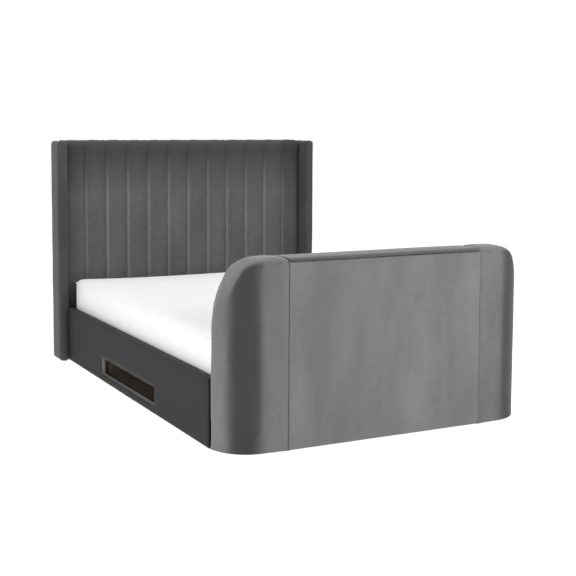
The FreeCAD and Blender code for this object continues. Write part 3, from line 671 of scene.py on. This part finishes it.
def back_lining():
    """The lining stretched over the headboard's back, and the staples round its edge."""
    low, high = span("headboard_back_lining")
    turned = slab(Vector((low.x, -high.y, low.z)), Vector((high.x, -low.y, high.z)), 0.024, 0.0015)
    bmesh.ops.scale(turned, vec=(1, -1, 1), verts=turned.verts)
    bmesh.ops.reverse_faces(turned, faces=turned.faces)
    piece = to_object("back_lining_cloth", turned)
    ripple(piece, 0.0022, 5.0, 41, Vector((0, -1, 0)))
    dress(piece, BED, lining(), ["headboard_back_lining"])

    pitch, inset = 0.06, 0.012
    staples = bmesh.new()
    crown_size = Vector((0.011, 0.0011, 0.0011))
    spots = []
    steps = int((high.x - low.x - 2 * inset) / pitch)
    for step in range(steps + 1):
        x = low.x + inset + step * (high.x - low.x - 2 * inset) / steps
        spots += [(x, low.z + inset, 0.0), (x, high.z - inset, 0.0)]
    steps = int((high.z - low.z - 2 * inset) / pitch)
    for step in range(1, steps):
        z = low.z + inset + step * (high.z - low.z - 2 * inset) / steps
        spots += [(low.x + inset, z, math.pi / 2), (high.x - inset, z, math.pi / 2)]
    tilt = random.Random(7)
    for x, z, turn in spots:
        made = bmesh.ops.create_cube(staples, size=1.0)["verts"]
        bmesh.ops.scale(staples, vec=crown_size, verts=made)
        spin = Matrix.Rotation(turn + tilt.uniform(-0.2, 0.2), 3, "Y")
        bmesh.ops.rotate(staples, matrix=spin, verts=made)
        bmesh.ops.translate(staples, vec=(x, high.y + 0.0008, z), verts=made)
    dress(to_object("back_staples", staples), BED, zinc())


# ------------------------------------------------------------------ side rails
def rail_cover():
    """Both rail covers: a padded skin with a mouth for the pocket, folded over the rail's top."""
    low, high = span("rail_cover_left")
    tuck, cell = 0.0025, 0.02
    low.y -= tuck
    high.y += tuck
    board_low, board_high = span("rail_board_left")
    pocket_low, pocket_high = span("media_box_left")
    wall = 0.012
    mouth_low = pocket_low + Vector((0, wall, wall))
    mouth_high = pocket_high - Vector((0, wall, wall))
    shape = bmesh.new()
    size = high - low
    bmesh.ops.create_grid(shape, x_segments=round(size.y / cell), y_segments=round(size.z / cell),
                          size=0.5)
    for vertex in shape.verts:
        vertex.co = Vector((low.x, low.y + (vertex.co.x + 0.5) * size.y,
                            low.z + (vertex.co.y + 0.5) * size.z))
    cuts = [((0, mouth_low.y, 0), (0, 1, 0)), ((0, mouth_high.y, 0), (0, 1, 0)),
            ((0, 0, mouth_low.z), (0, 0, 1)), ((0, 0, mouth_high.z), (0, 0, 1)),
            ((0, 0, board_high.z), (0, 0, 1))]
    for point, normal in cuts:
        everything = shape.verts[:] + shape.edges[:] + shape.faces[:]
        bmesh.ops.bisect_plane(shape, geom=everything, dist=1e-6, plane_co=point, plane_no=normal)

    def in_mouth(face):
        middle = face.calc_center_median()
        return mouth_low.y < middle.y < mouth_high.y and mouth_low.z < middle.z < mouth_high.z

    bmesh.ops.delete(shape, geom=[face for face in shape.faces if in_mouth(face)], context="FACES")
    rim = [edge for edge in shape.edges if edge.is_boundary]
    made = bmesh.ops.extrude_face_region(shape, geom=shape.faces[:])["geom"]
    inner = [item for item in made if isinstance(item, bmesh.types.BMVert)]
    bmesh.ops.translate(shape, vec=(board_low.x - low.x, 0, 0), verts=inner)
    shape.normal_update()
    fold = [face for face in made if isinstance(face, bmesh.types.BMFace)
            and face.calc_center_median().z > board_high.z]
    made = bmesh.ops.extrude_face_region(shape, geom=fold)["geom"]
    bmesh.ops.translate(shape, vec=(high.x - board_low.x, 0, 0),
                        verts=[item for item in made if isinstance(item, bmesh.types.BMVert)])
    bmesh.ops.delete(shape, geom=[face for face in fold if face.is_valid], context="FACES_ONLY")
    bmesh.ops.recalc_face_normals(shape, faces=shape.faces)
    round_edges(shape, [edge for edge in rim if edge.is_valid], 0.0020)
    left = to_object("rail_left", shape)
    inflate(left, 1.5, 0.0012, lambda point: point.x > board_low.x - 0.004, frames=12, growth=0.002)
    ripple(left, 0.0004, 4.0, 51, Vector((-1, 0, 0)))
    right = mirrored(left, "rail_right")

    ring = block(Vector((low.x + 0.0025, mouth_low.y, mouth_low.z)),
                 Vector((high.x + 0.001, mouth_high.y, mouth_high.z)))
    ends = [face for face in ring.faces if abs(face.normal.x) > 0.9]
    bmesh.ops.delete(ring, geom=ends, context="FACES")
    bmesh.ops.reverse_faces(ring, faces=ring.faces)
    bmesh.ops.solidify(ring, geom=ring.faces[:], thickness=-0.0012)
    bmesh.ops.recalc_face_normals(ring, faces=ring.faces)
    left_jamb = to_object("pocket_lining_left", ring)
    right_jamb = mirrored(left_jamb, "pocket_lining_right")
    for side, cover, jamb in (("left", left, left_jamb), ("right", right, right_jamb)):
        # Painted shade and light: the rail covers take a much darker copy of the velvet, the pocket
        # jambs a lighter one.
        dress(cover, BED, velvet("velvet_rail", 0.17, (1.0, 0.35, 1.0), 0.06),
              [f"rail_cover_{side}"])
        dress(jamb, BED, velvet("velvet_jamb", 1.0))


# ------------------------------------------------------------------ mattress
def is_upright(edge):
    run = edge.verts[0].co - edge.verts[1].co
    return abs(run.x) < 1e-6 and abs(run.y) < 1e-6


def mattress():
    """The mattress: firm piped edges, full sides and a top that dips a little in the middle."""
    low, high = span("mattress")
    radius, corner = sizes().mattress_round, sizes().mattress_corner
    skin, sag = 0.003, 0.013
    inset = Vector((skin, skin, 0))
    shape = block(low + inset, high - inset - Vector((0, 0, skin)))
    round_edges(shape, [edge for edge in shape.edges if is_upright(edge)], corner, 8)
    round_edges(shape, [edge for edge in shape.edges if not is_upright(edge)], radius, 4)
    piece = remesh(to_object("mattress_body", shape), 0.018)
    seams = (low.z + radius, high.z - skin - radius)
    shell = radius * 0.8

    def on_seam(point):
        at_side = (point.x < low.x + shell or point.x > high.x - shell
                   or point.y < low.y + shell or point.y > high.y - shell)
        return (at_side and min(abs(point.z - seam) for seam in seams) < 0.010) \
            or point.z < low.z + 0.004

    inflate(piece, 3.0, 0.004, on_seam, frames=14, growth=0.003)
    middle = (low + high) / 2
    for vertex in piece.data.vertices:
        if vertex.co.z > middle.z:
            u = (vertex.co.x - middle.x) / (high.x - low.x) * 2
            v = (vertex.co.y - middle.y) / (high.y - low.y) * 2
            vertex.co.z -= sag * max(0, 1 - u ** 2) * max(0, 1 - 0.35 * v ** 2)
    ripple(piece, 0.0005, 3.0, 61)
    subdivide(piece)
    cover = ticking()
    dress(piece, BED, cover, ["mattress"])

    for name, height in (("mattress_piping_low", seams[0]), ("mattress_piping_top", seams[1])):
        ring = bmesh.new()
        bmesh.ops.create_grid(ring, x_segments=1, y_segments=1, size=1.0)
        half = (high - low) / 2 - inset
        bmesh.ops.scale(ring, vec=(half.x, half.y, 1), verts=ring.verts)
        bmesh.ops.translate(ring, vec=(middle.x, middle.y, height), verts=ring.verts)
        bmesh.ops.bevel(ring, geom=ring.verts[:], offset=corner, segments=10, profile=0.5,
                        affect="VERTICES", material=-1)
        bmesh.ops.delete(ring, geom=ring.faces[:], context="FACES_ONLY")
        cord = to_object(name, ring)
        skin_tube = cord.modifiers.new("Skin", "SKIN")
        skin_tube.use_smooth_shade = True
        for point in cord.data.skin_vertices[0].data:
            point.radius = (sizes().piping, sizes().piping)
        cord.data.skin_vertices[0].data[0].use_root = True
        subdivide(cord, 2)
        dress(cord, BED, cover)


# ------------------------------------------------------------------ footboard
def spun_arc(shape, start, centre, turn, steps):
    """Spins a vertex about a Y axis and returns the arc's last vertex."""
    made = bmesh.ops.spin(shape, geom=[start], cent=centre, axis=(0, 1, 0), angle=turn,
                          steps=steps, use_duplicate=False)
    return next(item for item in made["geom_last"] if isinstance(item, bmesh.types.BMVert))


def end_elevation(low, high, margin):
    """The left end seen from the front, as a block deeper than the footboard by the margin."""
    shape = bmesh.new()
    top, side = high.z, low.x
    shoulder, flank = sizes().shoulder_radius, sizes().flank_radius
    turn = sizes().shoulder_turn
    front = low.y - margin
    reach = flank - shoulder
    flank_centre = Vector((side + flank, front, top - shoulder - reach * math.cos(turn)))
    shoulder_centre = flank_centre + Vector((-math.sin(turn), 0, math.cos(turn))) * reach
    first = shape.verts.new((side, front, flank_centre.z))
    middle = spun_arc(shape, first, flank_centre, math.pi / 2 - turn, 10)
    last = spun_arc(shape, middle, shoulder_centre, turn, 14)
    chain = [last, shape.verts.new((high.x, front, top)), shape.verts.new((high.x, front, low.z)),
             shape.verts.new((side, front, low.z)), first]
    for start, end in zip(chain, chain[1:]):
        shape.edges.new((start, end))
    bmesh.ops.remove_doubles(shape, verts=shape.verts, dist=1e-6)
    bmesh.ops.contextual_create(shape, geom=shape.edges[:])
    made = bmesh.ops.extrude_face_region(shape, geom=shape.faces[:])["geom"]
    bmesh.ops.translate(shape, vec=(0, high.y - low.y + 2 * margin, 0),
                        verts=[item for item in made if isinstance(item, bmesh.types.BMVert)])
    bmesh.ops.recalc_face_normals(shape, faces=shape.faces)
    return shape


def end_plan(low, high, margin):
    """The left end seen from above: a block with one quarter-round corner."""
    shape = block(Vector((low.x, low.y, low.z - margin)),
                  Vector((high.x + margin, high.y, high.z + margin)))
    corner = [edge for edge in shape.edges
              if all(v.co.x < low.x + 1e-4 and v.co.y < low.y + 1e-4 for v in edge.verts)]
    round_edges(shape, corner, sizes().plan_radius, 24)
    return shape


def cut_flat(thing, point, away):
    """Cuts off what lies beyond a plane and closes the cut."""
    shape = bmesh.new()
    shape.from_mesh(thing.data)
    made = bmesh.ops.bisect_plane(shape, geom=shape.verts[:] + shape.edges[:] + shape.faces[:],
                                  dist=1e-5, plane_co=point, plane_no=away, clear_outer=True)
    rim = [item for item in made["geom_cut"] if isinstance(item, bmesh.types.BMEdge)]
    bmesh.ops.triangle_fill(shape, edges=rim, use_beauty=True, use_dissolve=False)
    bmesh.ops.recalc_face_normals(shape, faces=shape.faces)
    shape.to_mesh(thing.data)
    shape.free()


def mark_painted_shade(thing, low, high, side):
    """Marks the upright band on the front corner that gets painted shade, by how far each point's
    normal turns from the front.
    """
    marks = thing.data.attributes.new("painted_light", "FLOAT", "POINT")
    middle = (low.y + high.y) / 2
    band_turn, band_spread = 29, 23
    for vertex, mark in zip(thing.data.vertices, marks.data):
        normal = vertex.normal
        mark.value = 0.0
        if vertex.co.y < middle + 0.03 and normal.y < 0.2:
            turn = math.degrees(math.atan2(normal.x * side, -normal.y))
            band = math.exp(-((turn - band_turn) / band_spread) ** 4)
            mark.value = band * (1 - min(1.0, max(0.0, normal.z - 0.2) * 1.7))


def shape_shoulder(thing, low, high):
    """Lets the rolled top fall away to front and back, and dip at the seam with the panels."""
    middle, half = (low.y + high.y) / 2, (high.y - low.y) / 2
    rise, front_fall, back_fall = 0.001, 0.004, 0.009
    shoulder_x, shoulder_width, shoulder_fall = -0.618, 0.070, 0.004
    shoulder_foot, shoulder_blend = 0.45, 0.12
    seam_reach, seam_dip = 0.022, 0.006
    pull_reach, pull = 0.007, 0.0014
    normals = [vertex.normal.copy() for vertex in thing.data.vertices]
    for vertex, facing in zip(thing.data.vertices, normals):
        spot = vertex.co
        depth = (spot.y - middle) / half
        if spot.z > low.z + 0.3:
            fall = back_fall if depth > 0 else front_fall
            spot.z += (rise - fall * depth ** 2) * max(0.0, facing.z) ** 2
        if depth > 0 and spot.z > shoulder_foot:
            shoulder = math.exp(-((spot.x - shoulder_x) / shoulder_width) ** 2)
            blend = min(1.0, (spot.z - shoulder_foot) / shoulder_blend)
            spot.z -= shoulder_fall * shoulder * depth ** 2 * blend
        dip = max(0.0, 1 - (high.x - spot.x) / seam_reach)
        spot.z -= seam_dip * dip ** 2 * max(0.0, facing.z)
        dip = max(0.0, 1 - (high.x - spot.x) / pull_reach)
        spot.y += pull * dip ** 2 * (1 if facing.y < -0.5 else -1 if facing.y > 0.5 else 0)


def footboard_ends():
    """Both rolled ends: what the elevation and the plan have in common, padded and softened."""
    low, high = span("foot_end_cover_left")
    skin, spare, margin = 0.003, 0.03, 0.05
    inner_low = low + Vector((skin, skin, -spare))
    inner_high = high + Vector((spare, -skin, 0))
    left = to_object("footboard_end_left", end_elevation(inner_low, inner_high, margin))
    cutter = to_object("plan_cutter", end_plan(inner_low, inner_high, margin))
    change = left.modifiers.new("Plan", "BOOLEAN")
    change.operation = "INTERSECT"
    change.solver = "EXACT"
    change.object = cutter
    settle(left)
    bpy.data.objects.remove(cutter)
    remesh(left, 0.0065)
    relax(left, 4)
    middle = (low.y + high.y) / 2
    relax(left, 12, lambda point: point.y < middle and point.z > low.z + 0.25)
    relax(left, 6, lambda point: point.y > middle and point.z > high.z - 0.1)
    shape_shoulder(left, low, high)
    cut_flat(left, (high.x + 0.0008, 0, 0), (1, 0, 0))
    cut_flat(left, (0, 0, low.z - 0.001), (0, 0, -1))

    def held(point):
        return (point.x > high.x - 0.003 or point.z < low.z + 0.004
                or (point.y > high.y - 0.008 and point.z < 0.3))

    def off_seam(point):
        return point.x < high.x - 0.006

    inflate(left, 2.5, 0.003, held, frames=16)
    relax(left, 6, lambda point: low.z + 0.008 < point.z < high.z - 0.2 and off_seam(point))
    relax(left, 8, lambda point: low.z + 0.006 < point.z < low.z + 0.12 and off_seam(point))
    ripple(left, 0.0008, 5.0, 71)
    subdivide(left)
    right = mirrored(left, "footboard_end_right")
    for piece, side in ((left, -1), (right, 1)):
        # Painted light and shade: each end's front corner gets a marked band painted darker, and
        # the ends take a lighter copy of the velvet.
        mark_painted_shade(piece, low, high, side)
        node = f"foot_end_cover_{'left' if side < 0 else 'right'}"
        dress(piece, BED, velvet("velvet_end", 1.15, painted_light=0.30), [node])


def footboard_panels():
    """The front panel and the one that faces the mattress."""
    # Painted light: the front and inner panels take a lighter copy of the velvet.
    fabric = velvet("velvet_front", 1.24, PLANK_NAP)
    low, high = span("foot_front_cover")
    board_low = span("foot_front_board")[0]
    lap = Vector((0.0006, 0, 0))
    front = slab(low - lap, Vector((high.x, board_low.y, high.z)) + lap, 0.012,
                 sizes().panel_round)
    piece = to_object("footboard_front", front)
    inflate(piece, 1.6, 0.0018, lambda point: point.y > board_low.y - 0.004, frames=12,
            growth=0.001)
    ripple(piece, 0.0010, 5.0, 81, Vector((0, -1, 0)))
    dress(piece, BED, fabric, ["foot_front_cover"])

    low, high = span("foot_inner_cover")
    board_high = span("foot_inner_board")[1]
    turned = slab(Vector((low.x, -high.y, low.z)) - lap,
                  Vector((high.x, -board_high.y, high.z)) + lap, 0.014, sizes().panel_round)
    bmesh.ops.scale(turned, vec=(1, -1, 1), verts=turned.verts)
    bmesh.ops.reverse_faces(turned, faces=turned.faces)
    piece = to_object("footboard_inner", turned)
    inflate(piece, 1.6, 0.0018, lambda point: point.y < board_high.y + 0.004, frames=12,
            growth=0.001)
    ripple(piece, 0.0010, 5.0, 82, Vector((0, 1, 0)))
    dress(piece, BED, fabric, ["foot_inner_cover"])

    for part in ("front", "inner"):
        top = span(f"foot_{part}_cover")[1].z
        edge_low, edge_high = span(f"foot_{part}_board")
        strip = block(Vector((low.x, edge_low.y - 0.002, board_high.z)),
                      Vector((high.x, edge_high.y, top)))
        round_edges(strip, [edge for edge in strip.edges if edge.calc_length() > 0.5], 0.002, 3)
        dress(to_object(f"footboard_{part}_edge", strip), BED, fabric)


def lid():
    """The lid's padded cover, a little crowned, with rounded edges."""
    low, high = span("lid_cover")
    flipped = slab(Vector((low.x, low.y, -high.z)), Vector((high.x, high.y, -low.z)), 0.009,
                   0.0045, 0.002, thin=2)
    bmesh.ops.scale(flipped, vec=(1, 1, -1), verts=flipped.verts)
    bmesh.ops.reverse_faces(flipped, faces=flipped.faces)
    piece = to_object("lid_padding", flipped)
    inflate(piece, 2.0, 0.0012, lambda point: point.z < low.z + 0.003, frames=12, growth=0.002)
    middle, half = (low.y + high.y) / 2, (high.y - low.y) / 2
    for vertex in piece.data.vertices:
        height = (vertex.co.z - low.z) / (high.z - low.z)
        depth = max(0.0, (vertex.co.y - middle) / half)
        vertex.co.z -= 0.0045 * max(0.0, height) * depth ** 2
    ripple(piece, 0.0005, 6.0, 91, UP)
    # Painted light and shade: the lid takes its own copy of the velvet, set for how the light falls
    # on its top.
    dress(piece, CARRIAGE, velvet("velvet_lid", 0.78, (0.35, 1.0, 1.0)), ["lid_cover"])


# ------------------------------------------------------------------ finishes of the CAD nodes
def frame_finishes():
    """Gives every CAD node that stays in sight its own material."""
    pine = ((0.62, 0.43, 0.24), (0.44, 0.27, 0.13))
    made = {
        "pine_upright": wood("pine_upright", *pine, "Z"),
        "pine_across": wood("pine_across", *pine, "X"),
        "pine_along": wood("pine_along", *pine, "Y"),
        "beech": wood("beech", (0.66, 0.46, 0.28), (0.50, 0.33, 0.18), "X", 0.42, 30.0),
        "ply": wood("ply", (0.64, 0.47, 0.29), (0.50, 0.34, 0.19), "Z", 0.6, 14.0),
        "board": chip_board("board", (0.52, 0.38, 0.23), (0.34, 0.23, 0.13)),
        "dark": dark_board(),
        "steel": black_steel(),
        "zinc": bpy.data.materials.get("zinc_plate") or zinc(),
        "plastic": black_plastic(),
        "felt": grey_felt(),
    }
    by_slot = {"timber": "pine_along", "beech_ply": "beech", "plywood": "ply", "board": "board",
               "dark_board": "dark", "zinc_steel": "zinc", "black_steel": "steel"}
    by_node = {"headboard_posts": "pine_upright", "headboard_cross_rails": "pine_across",
               "glides": "felt"}
    for row in frame["record"]["subparts"]:
        node = frame["nodes"][row["node"]]
        by_default = by_slot.get(row["material_slot"], "plastic")
        material = made[by_node.get(row["node"], by_default)]
        node.data.materials.clear()
        node.data.materials.append(material)


# ------------------------------------------------------------------ stage
def area_light(name, place, aim, size, power):
    """A white rectangular light at a place, turned to its aim."""
    lamp = bpy.data.lights.new(name, "AREA")
    lamp.shape = "RECTANGLE"
    lamp.size, lamp.size_y = size
    lamp.energy = power
    thing = bpy.data.objects.new(name, lamp)
    thing.location = place
    thing.rotation_euler = (Vector(aim) - Vector(place)).to_track_quat("-Z", "Y").to_euler()
    bpy.context.scene.collection.objects.link(thing)


def stage():
    """The camera, the pale floor, the bright room and three soft lights."""
    scene = bpy.context.scene
    lens = bpy.data.cameras.new("camera")
    lens.lens = 69.73
    lens.sensor_width = 36.0
    lens.shift_x = 0.04
    lens.shift_y = -0.12
    lens.clip_end = 60.0
    camera = bpy.data.objects.new("camera", lens)
    camera.location = (-2.4359, -4.8223, 1.2563)
    camera.rotation_euler = (math.radians(90 - 4.719), math.radians(-0.204), math.radians(-26.63))
    scene.collection.objects.link(camera)
    scene.camera = camera

    floor = bmesh.new()
    bmesh.ops.create_grid(floor, x_segments=1, y_segments=1, size=14.0)
    ground = to_object("floor", floor)
    shader = Shader("pale_floor")
    speck = shader.noise(shader.place(), 3.0, 2.0)
    tone = shader.mix(speck, (0.40, 0.40, 0.40, 1), (0.44, 0.44, 0.44, 1))
    ground.data.materials.append(shader.surface(
        Base_Color=tone, Roughness=0.9, Specular_IOR_Level=0.1,
        Emission_Color=(1, 1, 1, 1), Emission_Strength=0.88))

    world = bpy.data.worlds.new("studio")
    world.use_nodes = True
    sky = world.node_tree
    sky.nodes["Background"].inputs["Color"].default_value = (1, 1, 1, 1)
    path = sky.nodes.new("ShaderNodeLightPath")
    strength = sky.nodes.new("ShaderNodeMapRange")
    strength.inputs["To Min"].default_value = 0.30
    strength.inputs["To Max"].default_value = 1.0
    sky.links.new(path.outputs["Is Camera Ray"], strength.inputs["Value"])
    sky.links.new(strength.outputs["Result"], sky.nodes["Background"].inputs["Strength"])
    scene.world = world
    scene.view_settings.view_transform = "Standard"

    area_light("key", (2.3, -4.3, 2.0), (0.1, -0.9, 0.4), (1.5, 1.5), 105)
    area_light("side", (-4.3, -1.3, 1.5), (-0.2, 0.3, 0.7), (1.2, 1.8), 82)
    area_light("top", (0.3, 0.2, 4.6), (0.0, 0.1, 0.0), (4.0, 4.0), 145)


# ------------------------------------------------------------------ operators
class BED_OT_channels(bpy.types.Operator):
    """Build the headboard's padded channels"""

    bl_idname = "bed.channels"
    bl_label = "Headboard channels"

    def execute(self, context):
        for name in CHANNELS:
            channel(name)
        return {"FINISHED"}


class BED_OT_headboard(bpy.types.Operator):
    """Build the wings, the lower pad and the back lining"""

    bl_idname = "bed.headboard"
    bl_label = "Headboard wings and back"

    def execute(self, context):
        wing()
        lower_pad()
        back_lining()
        return {"FINISHED"}


class BED_OT_rails(bpy.types.Operator):
    """Build the padded rail covers and the linings of their pockets"""

    bl_idname = "bed.rails"
    bl_label = "Side rails"

    def execute(self, context):
        rail_cover()
        return {"FINISHED"}


class BED_OT_mattress(bpy.types.Operator):
    """Build the mattress and its piping"""

    bl_idname = "bed.mattress"
    bl_label = "Mattress"

    def execute(self, context):
        mattress()
        return {"FINISHED"}


class BED_OT_footboard(bpy.types.Operator):
    """Build the footboard's ends, panels and lid"""

    bl_idname = "bed.footboard"
    bl_label = "Footboard"

    def execute(self, context):
        footboard_ends()
        footboard_panels()
        lid()
        return {"FINISHED"}


class BED_OT_finishes(bpy.types.Operator):
    """Give the frame, the boards and the lift their materials"""

    bl_idname = "bed.finishes"
    bl_label = "Frame finishes"

    def execute(self, context):
        frame_finishes()
        return {"FINISHED"}


class BED_OT_stage(bpy.types.Operator):
    """Set the camera, the floor and the studio lights"""

    bl_idname = "bed.stage"
    bl_label = "Stage"

    def execute(self, context):
        stage()
        return {"FINISHED"}


OPERATORS = (BED_OT_stage, BED_OT_channels, BED_OT_headboard, BED_OT_rails, BED_OT_mattress,
             BED_OT_footboard, BED_OT_finishes)


class BED_PT_panel(bpy.types.Panel):
    """The bed's operators and settings"""

    bl_idname = "BED_PT_panel"
    bl_label = "Television bed"
    bl_space_type = "VIEW_3D"
    bl_region_type = "UI"
    bl_category = "Bed"

    def draw(self, context):
        for operator in OPERATORS:
            self.layout.operator(operator.bl_idname)
        for group in (context.scene.bed_sizes, context.scene.bed_colours):
            for name in group.bl_rna.properties.keys():
                if name not in ("rna_type", "name"):
                    self.layout.prop(group, name)


CLASSES = (BedSizes, BedColours, *OPERATORS, BED_PT_panel)


def register():
    for kind in CLASSES:
        bpy.utils.register_class(kind)
    bpy.types.Scene.bed_sizes = PointerProperty(type=BedSizes)
    bpy.types.Scene.bed_colours = PointerProperty(type=BedColours)


def unregister():
    del bpy.types.Scene.bed_colours
    del bpy.types.Scene.bed_sizes
    for kind in reversed(CLASSES):
        bpy.utils.unregister_class(kind)


def main():
    """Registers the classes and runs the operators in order."""
    register()
    for operator in OPERATORS:
        group, name = operator.bl_idname.split(".")
        getattr(getattr(bpy.ops, group), name)()


if __name__ == "__main__":
    main()
